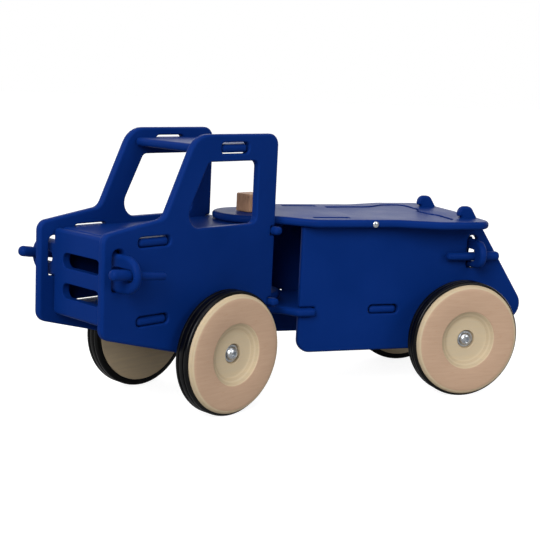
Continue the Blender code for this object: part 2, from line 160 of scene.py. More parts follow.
# Flap in the seat.
FLAP_AXIS_X = -139.6
FLAP_FRONT_X, FLAP_REAR_X = -125.0, -253.0
FLAP_HALF, FLAP_FLARE = 51.0, 78.0
FLAP_TOP = SEAT_TOP - 1.2
FLAP_THICK = 8.4
FLAP_GAP = 1.6
SCREW_OUT = 82.8

# The steering pin's place, and the frames that the chassis and the cab are drawn in.
pin_low, pin_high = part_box("steering_spacer")
PIVOT = Vector(((pin_low.x + pin_high.x) / 2, (pin_low.y + pin_high.y) / 2, 0))
FRAMES = {
    "chassis": Matrix.Translation(PIVOT),
    "cab": Matrix.Translation(PIVOT) @ Matrix.Rotation(math.radians(CAB_TURN), 4, "Z"),
}


# ---------------------------------------------------------------- shapes


class Spot:
    """A point of an outline, and how far it may move inwards where the rim is rounded."""

    def __init__(self, place, most=math.inf):
        self.place = place
        self.most = most


def rounded(corners):
    """The closed outline through corners (u, v, radius), each corner cut by an arc of its radius."""
    spots = []
    for i, (u, v, radius) in enumerate(corners):
        corner = Vector((u, v))
        to_last = (Vector(corners[i - 1][:2]) - corner).normalized()
        to_next = (Vector(corners[(i + 1) % len(corners)][:2]) - corner).normalized()
        inside = to_last.angle(to_next)
        convex = to_next.cross(to_last) > 0
        if radius <= 0:
            spots.append(Spot(corner))
            continue
        middle = corner + (to_last + to_next).normalized() * radius / math.sin(inside / 2)
        start = corner + to_last * radius / math.tan(inside / 2) - middle
        turn = (math.pi - inside) * (1 if convex else -1)
        pieces = max(2, math.ceil(abs(turn) / ARC_STEP))
        for k in range(pieces + 1):
            offset = Vector(start)
            offset.rotate(Matrix.Rotation(turn * k / pieces, 2))
            spots.append(Spot(middle + offset, radius * 0.97 if convex else math.inf))
    return spots


def box_outline(u_range, v_range, radius):
    """A rectangle with rounded corners."""
    (u0, u1), (v0, v1) = sorted(u_range), sorted(v_range)
    return rounded([(u0, v0, radius), (u1, v0, radius), (u1, v1, radius), (u0, v1, radius)])


def circle(u, v, radius, sides=48):
    angles = [math.tau * k / sides for k in range(sides)]
    return [Spot(Vector((u + radius * math.cos(angle), v + radius * math.sin(angle)))) for angle in angles]


def mirrored(half):
    """The whole outline of a board that is symmetric about v = 0, from its half with v above 0."""
    return half + [(u, -v, radius) for u, v, radius in reversed(half)]


def area(spots):
    return sum(a.place.cross(b.place) for a, b in zip(spots, spots[1:] + spots[:1])) / 2


def outward(spots):
    """For each spot, the unit vector away from the board, and how much longer a mitre there is."""
    found = []
    for i, spot in enumerate(spots):
        before = (spot.place - spots[i - 1].place).normalized()
        after = (spots[(i + 1) % len(spots)].place - spot.place).normalized()
        away = Vector((before.y + after.y, -before.x - after.x)).normalized()
        found.append((away, 1 / max(0.3, away.dot(Vector((before.y, -before.x))))))
    return found


PLANES = {
    "xy": lambda u, v, w: Vector((u, v, w)),
    "xz": lambda u, v, w: Vector((u, w, v)),
    "yz": lambda u, v, w: Vector((w, u, v)),
}


def show(mesh, name, material, slot, body, place):
    """Adds the mesh as the piece that stands for the CAD node of that name."""
    mesh.materials.append(MATERIALS[material])
    piece = bpy.data.objects.new("look_" + name, mesh)
    bpy.context.scene.collection.objects.link(piece)
    piece.matrix_world = place
    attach(piece, body)
    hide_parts(name)
    return piece


def rim_levels(low, high, radius):
    """The steps over a rounded rim, from the low face to the high face.

    Each step is its height, how far inside the outline it lies, and its normal's parts away from the board
    and along its thickness.
    """
    steps = []
    for k in range(RIM_STEPS + 1):
        angle = math.pi / 2 * k / RIM_STEPS
        out, along = math.sin(angle), math.cos(angle)
        steps.append((radius * (1 - along), radius * (1 - out), out, along))
    lower = [(low + rise, inset, out, -along) for rise, inset, out, along in steps]
    upper = [(high - rise, inset, out, along) for rise, inset, out, along in reversed(steps)]
    return lower + upper


def board(name, plane, outline, holes, span, body="cab", edge=EDGE, rim=SLOT_RIM, material="paint",
          slot="blue_paint", place=None):
    """A flat board: the outline less its holes, as thick as the span, with rounded rims."""
    low, high = sorted(span)
    turn = PLANES[plane]
    builder = bmesh.new()
    normals = []
    rims = {low: [], high: []}
    for number, spots in enumerate([outline, *holes]):
        if (area(spots) > 0) != (number == 0):
            spots = spots[::-1]
        ways = outward(spots)
        rings = []
        for w, inset, out, along in rim_levels(low, high, edge if number == 0 else rim):
            ring = []
            for spot, (away, mitre) in zip(spots, ways):
                at = spot.place - away * min(inset, spot.most) * mitre
                ring.append(builder.verts.new(turn(at.x, at.y, w) * MM))
                normals.append(turn(away.x * out, away.y * out, along))
            rings.append(ring)
        for lower, upper in zip(rings, rings[1:]):
            for i in range(len(spots)):
                j = (i + 1) % len(spots)
                builder.faces.new((lower[i], lower[j], upper[j], upper[i]))
        for w, ring in ((low, rings[0]), (high, rings[-1])):
            rims[w] += [builder.edges.get((ring[i - 1], ring[i])) for i in range(len(ring))]
    for edges in rims.values():
        bmesh.ops.triangle_fill(builder, edges=edges, use_beauty=True)
    bmesh.ops.recalc_face_normals(builder, faces=builder.faces)
    mesh = bpy.data.meshes.new(name)
    builder.to_mesh(mesh)
    builder.free()
    mesh.shade_smooth()
    mesh.normals_split_custom_set_from_vertices(normals)
    return show(mesh, name, material, slot, body, place or FRAMES[body])


def turned(name, profile, axis, body, place, material, slot, sides=48):
    """A round piece: the profile of (radius, distance along the axis) turned about the place's own axis.

    A radius may be a function of the angle. A profile that starts off the axis is closed into a ring.
    """
    builder = bmesh.new()
    rings = []
    for radius, along in profile:
        ring = []
        for k in range(sides if radius else 1):
            angle = math.tau * k / sides
            size = radius(angle) if callable(radius) else radius
            across, up = size * math.cos(angle), size * math.sin(angle)
            at = {"x": (along, across, up), "y": (across, along, up), "z": (across, up, along)}[axis]
            ring.append(builder.verts.new(Vector(at) * MM))
        rings.append(ring)
    closed = bool(profile[0][0])
    for inner, outer in zip(rings, rings[1:] + (rings[:1] if closed else [])):
        for k in range(sides):
            n = (k + 1) % sides
            corners = [ring[at % len(ring)] for ring, at in ((inner, k), (inner, n), (outer, n), (outer, k))]
            builder.faces.new(list(dict.fromkeys(corners)))
    bmesh.ops.recalc_face_normals(builder, faces=builder.faces)
    mesh = bpy.data.meshes.new(name)
    builder.to_mesh(mesh)
    builder.free()
    mesh.shade_smooth()
    mesh.set_sharp_from_angle(angle=math.radians(32))
    return show(mesh, name, material, slot, body, place)


# ---------------------------------------------------------------- materials


class Graph:
    """The node tree of one material."""

    def __init__(self, name):
        self.material = bpy.data.materials.new(name)
        self.material.use_nodes = True
        self.tree = self.material.node_tree
        self.shader = self.tree.nodes["Principled BSDF"]

    def add(self, kind, inputs=None, **settings):
        """A node with its settings, each input a value or another node's output."""
        node = self.tree.nodes.new("ShaderNode" + kind)
        for key, value in settings.items():
            setattr(node, key, value)
        for key, value in (inputs or {}).items():
            self.feed(node.inputs[key], value)
        return node

    def feed(self, socket, value):
        if isinstance(value, bpy.types.NodeSocket):
            self.tree.links.new(value, socket)
        else:
            socket.default_value = value

    def place(self, scale):
        """Object coordinates, stretched by the scale."""
        source = self.add("TexCoord").outputs["Object"]
        return self.add("Mapping", {"Vector": source, "Scale": scale}).outputs["Vector"]

    def noise(self, scale, stretch=(1, 1, 1), detail=3.0, roughness=0.55):
        return self.add("TexNoise", {
            "Vector": self.place(stretch), "Scale": scale, "Detail": detail, "Roughness": roughness,
        }).outputs["Fac"]

    def spread(self, value, low, high, start=0.0, end=1.0, kind="LINEAR"):
        """The value's range from start to end, moved to the range from low to high."""
        return self.add("MapRange", {
            "Value": value, "From Min": start, "From Max": end, "To Min": low, "To Max": high,
        }, interpolation_type=kind).outputs["Result"]

    def mix(self, share, first, second, blend="MIX"):
        node = self.add("Mix", data_type="RGBA", blend_type=blend)
        self.feed(node.inputs["Factor"], share)
        self.feed(node.inputs[6], first)
        self.feed(node.inputs[7], second)
        return node.outputs[2]

    def maths(self, operation, first, second=0.0):
        node = self.add("Math", operation=operation)
        self.feed(node.inputs[0], first)
        self.feed(node.inputs[1], second)
        return node.outputs[0]

    def bump(self, height, distance, strength=1.0, below=None):
        inputs = {"Height": height, "Distance": distance, "Strength": strength}
        if below:
            inputs["Normal"] = below
        return self.add("Bump", inputs).outputs["Normal"]

    def surface(self, **inputs):
        """Sets the shader's inputs, named in lower case with _ for a space."""
        names = {socket.name.lower().replace(" ", "_"): socket for socket in self.shader.inputs}
        for key, value in inputs.items():
            self.feed(names[key], value)
        return self.material


def opaque(red, green, blue):
    return (red, green, blue, 1.0)


def paint():
    """Satin navy paint on plywood: faint grain under it, a fine orange peel, and cloudy gloss."""
    g = Graph("satin_navy_paint")
    cloud = g.noise(14, detail=4)
    grain = g.noise(60, (1, 14, 14), detail=5, roughness=0.6)
    peel = g.noise(850, detail=2)
    deep, worn = opaque(0.0016, 0.0180, 0.124), opaque(0.0024, 0.0208, 0.140)
    base = g.mix(g.spread(cloud, 0, 1, 0.35, 0.7), deep, worn)
    normal = g.bump(grain, 0.00035, 0.16)
    normal = g.bump(peel, 0.00022, 0.22, normal)
    return g.surface(base_color=base, roughness=g.spread(cloud, 0.36, 0.46, 0.3, 0.7), normal=normal,
                     specular_ior_level=0.022)


def plywood():
    """A wheel turned from plywood: a pink beech veneer on the face, paler plies where the wood is cut."""
    g = Graph("lacquered_plywood")
    depth = g.add("SeparateXYZ", {"Vector": g.place((-1000, -1000, -1000))}).outputs["Y"]
    streak = g.noise(26, (1, 8, 14), detail=6, roughness=0.62)
    fleck = g.noise(420, (0.28, 1, 1), detail=2)
    pink, pale = opaque(0.415, 0.275, 0.187), opaque(0.465, 0.318, 0.219)
    veneer = g.mix(g.spread(streak, 0, 1, 0.3, 0.72), pink, pale)
    veneer = g.mix(g.spread(fleck, 0, 0.4, 0.6, 0.72), veneer, opaque(0.40, 0.235, 0.14))
    ply = g.maths("FRACT", g.maths("DIVIDE", depth, 2.9))
    light_ply, dark_ply = opaque(0.47, 0.385, 0.265), opaque(0.42, 0.335, 0.225)
    cut = g.mix(g.spread(ply, 0, 1, 0.46, 0.54, "SMOOTHSTEP"), light_ply, dark_ply)
    cut = g.mix(g.spread(streak, 0, 0.45, 0.35, 0.7), cut, opaque(0.55, 0.42, 0.25))
    glue_at = g.maths("ABSOLUTE", g.maths("SUBTRACT", g.maths("FRACT", g.maths("DIVIDE", depth, 1.45)), 0.5))
    glue = g.spread(glue_at, 0, 0.35, 0.44, 0.5)
    cut = g.mix(glue, cut, opaque(0.30, 0.17, 0.085))
    base = g.mix(g.spread(depth, 0, 1, 0.35, 0.75, "SMOOTHSTEP"), veneer, cut)
    normal = g.bump(g.mix(0.5, streak, fleck), 0.0003, 0.25)
    return g.surface(base_color=base, roughness=g.spread(streak, 0.5, 0.62), normal=normal,
                     specular_ior_level=0.2)


def brown_wood():
    """The bare hardwood head of the steering pin, with its grain upright."""
    g = Graph("brown_hardwood")
    grain = g.noise(70, (12, 12, 1), detail=6, roughness=0.65)
    pore = g.noise(700, (1, 1, 0.16), detail=2)
    base = g.mix(g.spread(grain, 0, 1, 0.3, 0.7), opaque(0.30, 0.155, 0.085), opaque(0.46, 0.27, 0.16))
    base = g.mix(g.spread(pore, 0, 0.5, 0.6, 0.7), base, opaque(0.09, 0.045, 0.025))
    return g.surface(base_color=base, roughness=0.6, normal=g.bump(grain, 0.0004, 0.35))


def rubber():
    """Black tyre rubber, a little dusty."""
    g = Graph("black_rubber")
    dust = g.noise(55, detail=5)
    grainy = g.noise(1400, detail=2)
    black, dusty = opaque(0.0007, 0.0007, 0.0011), opaque(0.0025, 0.0025, 0.0032)
    base = g.mix(g.spread(dust, 0, 1, 0.45, 0.8), black, dusty)
    normal = g.bump(grainy, 0.0001, 0.3)
    return g.surface(base_color=base, roughness=g.spread(dust, 0.26, 0.38), normal=normal,
                     specular_ior_level=0.2)


def steel():
    """Bright zinc plate with faint turning marks and a little dulling."""
    g = Graph("zinc_plated_steel")
    dull = g.noise(160, detail=4)
    scratch = g.noise(900, (1, 0.08, 1), detail=2)
    base = g.mix(g.spread(dull, 0, 1, 0.35, 0.7), opaque(0.48, 0.51, 0.55), opaque(0.62, 0.64, 0.66))
    return g.surface(base_color=base, metallic=1.0, roughness=g.spread(dull, 0.2, 0.38),
                     normal=g.bump(scratch, 0.00006, 0.2))


def nylon():
    """Uncoloured nylon, for the bushes and spacers."""
    g = Graph("natural_nylon")
    cloud = g.noise(90, detail=3)
    base = g.mix(cloud, opaque(0.62, 0.60, 0.55), opaque(0.74, 0.72, 0.68))
    return g.surface(base_color=base, roughness=0.5, normal=g.bump(cloud, 0.0002, 0.1))


MATERIALS = {
    "paint": paint(), "plywood": plywood(), "brown_wood": brown_wood(), "rubber": rubber(), "steel": steel(),
    "nylon": nylon(),
}


# ---------------------------------------------------------------- boards


def tab_slot(x_range, z_range):
    """The tall slot that a half-disc tab passes through, rounder at its top."""
    (rear, front), (bottom, top) = x_range, z_range
    return rounded([
        (rear, bottom, SLOT_CORNER_R), (front, bottom, SLOT_CORNER_R), (front, top, TAB_SLOT_TOP_R),
        (rear, top, TAB_SLOT_TOP_R),
    ])


def slot(tenon_x, z, below=GAP, above=SLOT_HEADROOM):
    """A slot in a side board for the tenon that starts at height z."""
    ends = (tenon_x[0] - SLOT_END_GAP, tenon_x[1] + SLOT_END_GAP)
    return box_outline(ends, (z - below, z + BOARD + above), SLOT_CORNER_R)


def tenon(x_range):
    """The half outline of a tenon on a level board, from the front end to the rear end."""
    rear, front = sorted(x_range)
    corner = TENON_CORNER_R
    return [(front, BETWEEN, 0), (front, TENON_OUT, corner), (rear, TENON_OUT, corner), (rear, BETWEEN, 0)]


def tabbed_board(name, back_x, z_range, tab_r, tab_out, tab_hole, openings, body):
    """An upright cross board with a half-disc tab at each end and a hole in each tab for a pin."""
    bottom, top = z_range
    tab_bottom, tab_top = TAB_Z - tab_r, TAB_Z + tab_r
    tab_corner = tab_r - 0.1
    right = [
        (BETWEEN, bottom, BOARD_CORNER_R), (BETWEEN, tab_bottom, 0), (tab_out, tab_bottom, tab_corner),
        (tab_out, tab_top, tab_corner),
    ]
    if top > tab_top:
        top_corner = BOARD_CORNER_R if top > tab_top + BOARD_CORNER_R else 0
        right += [(BETWEEN, tab_top, 0), (BETWEEN, top, top_corner)]
    left = [(-y, z, radius) for y, z, radius in reversed(right)]
    (inner, outer), hole_z = tab_hole
    holes = [box_outline((side * inner, side * outer), hole_z, 7) for side in SIDES.values()]
    span = (back_x, back_x + BOARD)
    board(name, "yz", rounded(right + left), holes + openings, span, body, BULLNOSE, SLIM_RIM)


def cross_pin(name, body, at, radii, direction, side, rise=0.0):
    """A pin along X with a round head at the given place; direction is the way from its head to its tip.

    The rise is how many degrees its front end is tilted up.
    """
    head_x, y, z = at
    head_r, neck_r, tip_r = radii
    profile = [
        (0, 0), (head_r * 0.45, 0.3), (head_r * 0.78, 1.4), (head_r * 0.95, 3.2), (head_r, 5.2),
        (head_r, PIN_HEAD - 2), (head_r * 0.98, PIN_HEAD), (neck_r * 1.03, PIN_NECK - 2), (neck_r, PIN_NECK),
        (tip_r, PIN_LENGTH - 4), (tip_r * 0.85, PIN_LENGTH - 1.6), (tip_r * 0.5, PIN_LENGTH - 0.3),
        (0, PIN_LENGTH),
    ]
    profile = [(radius, direction * (along - PIN_LENGTH / 2)) for radius, along in profile]
    middle = Vector((head_x + direction * PIN_LENGTH / 2, side * y, z))
    tilt = Matrix.Rotation(math.radians(-rise), 4, "Y")
    place = FRAMES[body] @ Matrix.Translation(middle * MM) @ tilt
    turned(name, profile, "x", body, place, "paint", "blue_paint", 32)


def cab_side(name, side):
    """One side of the cab: bonnet, slanted pillar, window, and slots for the cross boards."""
    def notch(z):
        """The open notch in the rear edge for the ear of a level board."""
        front = CAB_REAR_X + NOTCH_DEPTH
        return [(CAB_REAR_X, z - GAP, 2.5), (front, z - GAP, 1), (front, z + BOARD + GAP, 1),
                (CAB_REAR_X, z + BOARD + GAP, 2.5)]

    outline = rounded([
        (81, BODY_BOTTOM, 50), (CAB_FRONT_X, 109.5, 14), (CAB_FRONT_X, 224.2, 12), (196, 237, 14),
        (151.4, ROOF_TOP, 30), (CAB_REAR_X, ROOF_TOP, 14), *reversed(notch(DECK_Z)),
        *reversed(notch(CAB_FLOOR_Z)), (CAB_REAR_X, BODY_BOTTOM, 14),
    ])
    sill, lintel = WINDOW_Z
    window = rounded([
        (WINDOW_REAR_X, sill, 9), (170.7, sill, 17.5), (131.4, lintel, 8), (WINDOW_REAR_X, lintel, 8),
    ])
    holes = [
        window, slot(ROOF_TENON_X, ROOF_Z, *ROOF_SLACK), slot(CAB_TENON_X, DECK_Z),
        slot(CAB_TENON_X, CAB_FLOOR_Z), tab_slot(*FRONT_TAB_SLOT),
        circle(FRONT_AXLE_X, TYRE_R, AXLE_R + 0.6),
    ]
    board(name, "xz", outline, holes, (side * SIDE_IN, side * SIDE_OUT))


def build_cab():
    for word, side in SIDES.items():
        cab_side("cab_side_" + word, side)
    roof_rear, roof_front = ROOF_X
    roof = rounded(mirrored([(roof_front, BETWEEN, 6), *tenon(ROOF_TENON_X), (roof_rear, BETWEEN, 6)]))
    board("roof_board", "xy", roof, [], (ROOF_Z, ROOF_Z + BOARD), edge=BULLNOSE)
    ear_rear, ear_front = EAR_X
    level = rounded(mirrored([
        (GRILLE_BACK - 0.6, BETWEEN, 5), *tenon(CAB_TENON_X), (ear_front, BETWEEN, 0),
        (ear_front, CAB_EAR_OUT, BOARD_CORNER_R), (ear_rear, CAB_EAR_OUT, BOARD_CORNER_R),
        (ear_rear, TONGUE_R, 6), (-TONGUE_R, TONGUE_R, TONGUE_R - 1),
    ]))
    pin_hole = circle(0, 0, KINGPIN_R + GAP)
    for name, z in (("deck_board", DECK_Z), ("cab_floor_board", CAB_FLOOR_Z)):
        board(name, "xy", level, [pin_hole], (z, z + BOARD), edge=BULLNOSE, rim=SLIM_RIM)
    across = (-GRILLE_OPENING_HALF, GRILLE_OPENING_HALF)
    openings = [box_outline(across, z_range, 8) for z_range in GRILLE_OPENINGS_Z]
    tabbed_board(
        "grille_board", GRILLE_BACK, GRILLE_Z, FRONT_TAB_R, FRONT_TAB_OUT, FRONT_TAB_HOLE, openings, "cab"
    )
    for word, side in SIDES.items():
        cross_pin("grille_pin_" + word, "cab", FRONT_PIN, FRONT_PIN_RADII, -1, side, FRONT_PIN_RISE[word])


def build_steering_pin():
    """The steering pin: a square wooden head, a rod down through four boards, a spacer and a nut."""
    half = PEG_SIDE / 2
    head = box_outline((-half, half), (-half, half), 2.4)
    peg_z = SEAT_TOP + GAP
    board("steering_peg", "xy", head, [], (peg_z, peg_z + PEG_RISE), edge=1.8, material="brown_wood",
          slot="peg_wood")
    nut_top = CHASSIS_BOARD_Z - GAP
    rod_end = nut_top - ROD_BELOW
    rod = [(0, SEAT_TOP), (KINGPIN_R, SEAT_TOP), (KINGPIN_R, rod_end + 0.8), (KINGPIN_R - 0.8, rod_end),
           (0, rod_end)]
    turned("steering_rod", rod, "z", "cab", FRAMES["cab"], "steel", "steel")
    angles = [math.tau * k / 6 for k in range(6)]
    nut = rounded([(NUT_R * math.cos(angle), NUT_R * math.sin(angle), 0.6) for angle in angles])
    pin_hole = circle(0, 0, KINGPIN_R + GAP)
    board("steering_nut", "xy", nut, [pin_hole], (nut_top - NUT_HIGH, nut_top), edge=0.6, rim=0.5,
          material="steel", slot="steel")
    low, high = CHASSIS_BOARD_Z + BOARD + GAP, CAB_FLOOR_Z - GAP
    radius = STEERING_SPACER_R
    spacer = [(KINGPIN_R + GAP, low), (radius - 0.6, low), (radius, low + 0.6), (radius, high - 0.6),
              (radius - 0.6, high), (KINGPIN_R + GAP, high)]
    turned("steering_spacer", spacer, "z", "chassis", FRAMES["chassis"], "nylon", "nylon")


def rear_side(name, side):
    """One side of the seat box: a tenon and a fin through the seat, and a slanted rear edge."""
    top = SEAT_Z - GAP
    neck_rear, neck_front = FIN_NECK_X
    notch_front = CHASSIS_BOARD_Z - GAP
    notch_back = REAR_FRONT_X - CHASSIS_NOTCH
    outline = rounded([
        (REAR_FRONT_X, BODY_BOTTOM, 17), (REAR_FRONT_X, notch_front, 2.5), (notch_back, notch_front, 1),
        (notch_back, notch_front + BOARD + 2 * GAP, 1), (REAR_FRONT_X, notch_front + BOARD + 2 * GAP, 2.5),
        (REAR_FRONT_X, top, 3), (SEAT_TENON_X[1], top, 0), (SEAT_TENON_X[1], SEAT_TOP - 0.8, 3.4),
        (SEAT_TENON_X[0], SEAT_TOP - 0.8, 3.4), (SEAT_TENON_X[0], top, 0), (neck_front, top, 0),
        (neck_front, SEAT_TOP + 1.8, 2), (-266.2, SEAT_TOP + 2.6, 2.5), (-267.2, FIN_TOP, 9),
        (-284.0, FIN_TOP, 9),
        (neck_rear, SEAT_TOP + 1, 4), (neck_rear, top, 0), (-301.4, top, 0), (-382, 98, 22),
        (-238, BODY_BOTTOM, 60),
    ])
    holes = [
        slot(CHASSIS_TENON_X, CHASSIS_BOARD_Z), tab_slot(*TAIL_TAB_SLOT),
        circle(REAR_AXLE_X, TYRE_R, AXLE_R + 0.6),
    ]
    board(name, "xz", outline, holes, (side * SIDE_IN, side * SIDE_OUT), "chassis")


def flap_half(grow):
    """Half of the flap's outline, grown by a margin for the opening it lies in."""
    return [
        (FLAP_FRONT_X + grow, FLAP_HALF + grow, 5), (-192, FLAP_HALF + 4 + grow, 30),
        (-222, FLAP_FLARE + grow, 14), (FLAP_REAR_X - grow, FLAP_FLARE + grow, 12),
        (FLAP_REAR_X - grow, 28, 10), (FLAP_REAR_X + 8 - grow, 14, 10),
    ]


def build_chassis():
    for word, side in SIDES.items():
        rear_side("rear_side_" + word, side)
    seat = rounded(mirrored([
        (DISC_R, DISC_R, DISC_R - 0.1), (-20, DISC_R, 16), (-60, 81.4, 24), (-170, 81.4, 40),
        (-222, 101.8, 30), (-297.5, 101.8, 24), (-301.5, 20, 40),
    ]))
    openings = [rounded(mirrored(flap_half(FLAP_GAP))), circle(0, 0, KINGPIN_R + GAP)]
    for side in SIDES.values():
        across = (side * (SIDE_IN - GAP - 0.2), side * (SIDE_OUT + GAP + 0.2))
        openings.append(box_outline((SEAT_TENON_X[0] - 1.5, SEAT_TENON_X[1] + 1.5), across, 3))
        openings.append(box_outline((FIN_NECK_X[0] - 0.7, FIN_NECK_X[1] + 0.7), across, 1.5))
    board("seat_board", "xy", seat, openings, (SEAT_Z, SEAT_TOP), "chassis", SEAT_EDGE, SLIM_RIM)
    ear_rear = REAR_FRONT_X - CHASSIS_NOTCH + GAP
    chassis = rounded(mirrored([
        (DISC_R, DISC_R, DISC_R - 0.1), (-26, DISC_R, 20), (-46, CHASSIS_EAR_OUT, 9),
        (ear_rear, CHASSIS_EAR_OUT, BOARD_CORNER_R), (ear_rear, BETWEEN, 0), *tenon(CHASSIS_TENON_X),
        (TAIL_FRONT_X + GAP, BETWEEN, BOARD_CORNER_R),
    ]))
    level = (CHASSIS_BOARD_Z, CHASSIS_BOARD_Z + BOARD)
    pin_hole = circle(0, 0, KINGPIN_R + GAP)
    board("chassis_board", "xy", chassis, [pin_hole], level, "chassis", BULLNOSE, SLIM_RIM)
    wall = box_outline((-BETWEEN, BETWEEN), (level[1] + GAP, SEAT_Z - GAP), 2)
    board("hold_front_wall", "yz", wall, [], (HOLD_FRONT_X - BOARD, HOLD_FRONT_X), "chassis", edge=1.6)
    tail_back, tail_z = TAIL_FRONT_X - BOARD, (level[1] + GAP, TAIL_TOP)
    tabbed_board("tail_board", tail_back, tail_z, TAIL_TAB_R, TAIL_TAB_OUT, TAIL_TAB_HOLE, [], "chassis")
    for word, side in SIDES.items():
        cross_pin("tail_pin_" + word, "chassis", TAIL_PIN, TAIL_PIN_RADII, 1, side)


def build_flap():
    """The flap, and the two screws in the seat's edges that it turns on."""
    axis_z = FLAP_TOP - FLAP_THICK / 2
    level = (FLAP_TOP - FLAP_THICK, FLAP_TOP)
    outline = rounded(mirrored(flap_half(0)))
    board("seat_flap", "xy", outline, [], level, "flap", edge=1.5, place=FRAMES["chassis"])
    for word, side in SIDES.items():
        head = [(0, 1.2), (2.2, 1.0), (3.4, 0.5), (3.9, 0), (3.9, -0.4), (0, -0.4)]
        spot = FRAMES["chassis"] @ Matrix.Translation(Vector((FLAP_AXIS_X, side * SCREW_OUT, axis_z)) * MM)
        head = [(radius, side * along) for radius, along in head]
        turned("flap_screw_" + word, head, "y", "chassis", spot, "steel", "steel", 24)


# ---------------------------------------------------------------- wheels


def hexagon(across_flats):
    """The radius of a hexagon at an angle, for a turned piece with a hexagonal socket."""
    def radius(angle):
        return across_flats / 2 / math.cos((angle + math.pi / 6) % (math.pi / 3) - math.pi / 6)
    return radius


def wheel_set(corner, side, axle_x, face_y, body):
    """A wheel with its tyre, bush, washer, bolt and the spacer behind it.

    In the wheel's own frame Y points out along the axle, and the outer face is at 0.
    """
    facing = Matrix.Rotation(0 if side == LEFT else math.pi, 4, "Z")
    place = FRAMES[body] @ Matrix.Translation(Vector((axle_x, side * face_y, TYRE_R)) * MM) @ facing
    wheel_body = "wheel_" + corner

    def turn(name, profile, rides_on, material, slot_name, sides=48):
        """Distances along the axle run inwards from the wheel's outer face."""
        along = [(radius, -depth) for radius, depth in profile]
        turned(f"{name}_{corner}", along, "y", rides_on, place, material, slot_name, sides)

    shoulder = []
    for k in range(SHOULDER_STEPS + 1):
        angle = math.pi / 2 * k / SHOULDER_STEPS
        along = SHOULDER_DEPTH * (1 - math.cos(angle))
        shoulder.append((SHOULDER_R + (WHEEL_R - SHOULDER_R) * math.sin(angle), along))
    turn("wheel", [
        (BUSH_R + GAP, WHEEL_THICK), (BUSH_R + GAP, BOLT_WELL_DEPTH), (BOLT_WELL_R, BOLT_WELL_DEPTH),
        (BOLT_WELL_R, RECESS_DEPTH + 0.5), (BOLT_WELL_R + 0.5, RECESS_DEPTH),
        (RECESS_FLOOR_R - 2, RECESS_DEPTH), (RECESS_FLOOR_R, RECESS_DEPTH - 0.6), (RECESS_R - 1.2, 1.2),
        (RECESS_R - 0.4, 0.3), (RECESS_R + 0.6, 0), *shoulder, (WHEEL_R, TYRE_FRONT - GAP),
        (TYRE_SEAT_R, TYRE_FRONT - GAP), (TYRE_SEAT_R, WHEEL_THICK),
    ], wheel_body, "plywood", "wheel_wood", WHEEL_SIDES)
    tread = [
        (TYRE_SEAT_R + GAP, TYRE_FRONT), (72.6, TYRE_FRONT), (73.9, TYRE_FRONT + 0.5),
        (74.8, TYRE_FRONT + 1.6), (TYRE_R, TYRE_FRONT + 2.6),
    ]
    for middle in TYRE_GROOVES:
        tread += [(TYRE_R - sunk, middle + along) for sunk, along in GROOVE]
    tread += [
        (TYRE_R, TYRE_BACK - 2.6), (74.8, TYRE_BACK - 1.6), (73.9, TYRE_BACK - 0.5), (72.6, TYRE_BACK),
        (TYRE_SEAT_R + GAP, TYRE_BACK),
    ]
    turn("tyre", tread, wheel_body, "rubber", "tyre", WHEEL_SIDES)
    turn("bush", [
        (AXLE_R + GAP, WHEEL_THICK), (AXLE_R + GAP, BOLT_WELL_DEPTH), (BUSH_R, BOLT_WELL_DEPTH),
        (BUSH_R, WHEEL_THICK),
    ], wheel_body, "nylon", "nylon")
    washer_top = BOLT_WELL_DEPTH - GAP - WASHER_THICK
    turn("washer", [
        (AXLE_R + GAP, washer_top), (WASHER_R - 0.4, washer_top), (WASHER_R, washer_top + 0.4),
        (WASHER_R, washer_top + WASHER_THICK), (AXLE_R + GAP, washer_top + WASHER_THICK),
    ], body, "steel", "steel")
    head = washer_top - GAP
    crown = head - BOLT_HEAD
    socket = hexagon(SOCKET_FLATS)
    turn("bolt", [
        (0, crown + 3.6), (socket, crown + 3.4), (socket, crown + 0.5), (4.2, crown + 0.15),
        (5.6, crown + 0.75), (7.0, crown + 1.9), (8.0, crown + 3.4), (BOLT_R, head - 0.9),
        (BOLT_R - 0.15, head - 0.3), (BOLT_R - 0.6, head), (0, head),
    ], body, "steel", "steel", 48)
    inner, outer = face_y - WHEEL_THICK - GAP, SIDE_OUT + GAP
    turn("spacer", [
        (AXLE_R + GAP, face_y - inner), (SPACER_R - 0.4, face_y - inner), (SPACER_R, face_y - inner + 0.5),
        (SPACER_R, face_y - outer - 0.5), (SPACER_R - 0.4, face_y - outer), (AXLE_R + GAP, face_y - outer),
    ], body, "nylon", "nylon")
    return head


def build_wheels():
    ends = (("front", FRONT_AXLE_X, FRONT_FACE_Y, "cab"), ("rear", REAR_AXLE_X, REAR_FACE_Y, "chassis"))
    for end, x, face_y, body in ends:
        for word, side in SIDES.items():
            depth = wheel_set(f"{end}_{word}", side, x, face_y, body)
        reach = face_y - depth - GAP
        place = FRAMES[body] @ Matrix.Translation(Vector((x, 0, TYRE_R)) * MM)
        rod = [(0, -reach), (AXLE_R, -reach), (AXLE_R, reach), (0, reach)]
        turned(end + "_axle", rod, "y", body, place, "steel", "steel")


# ---------------------------------------------------------------- studio


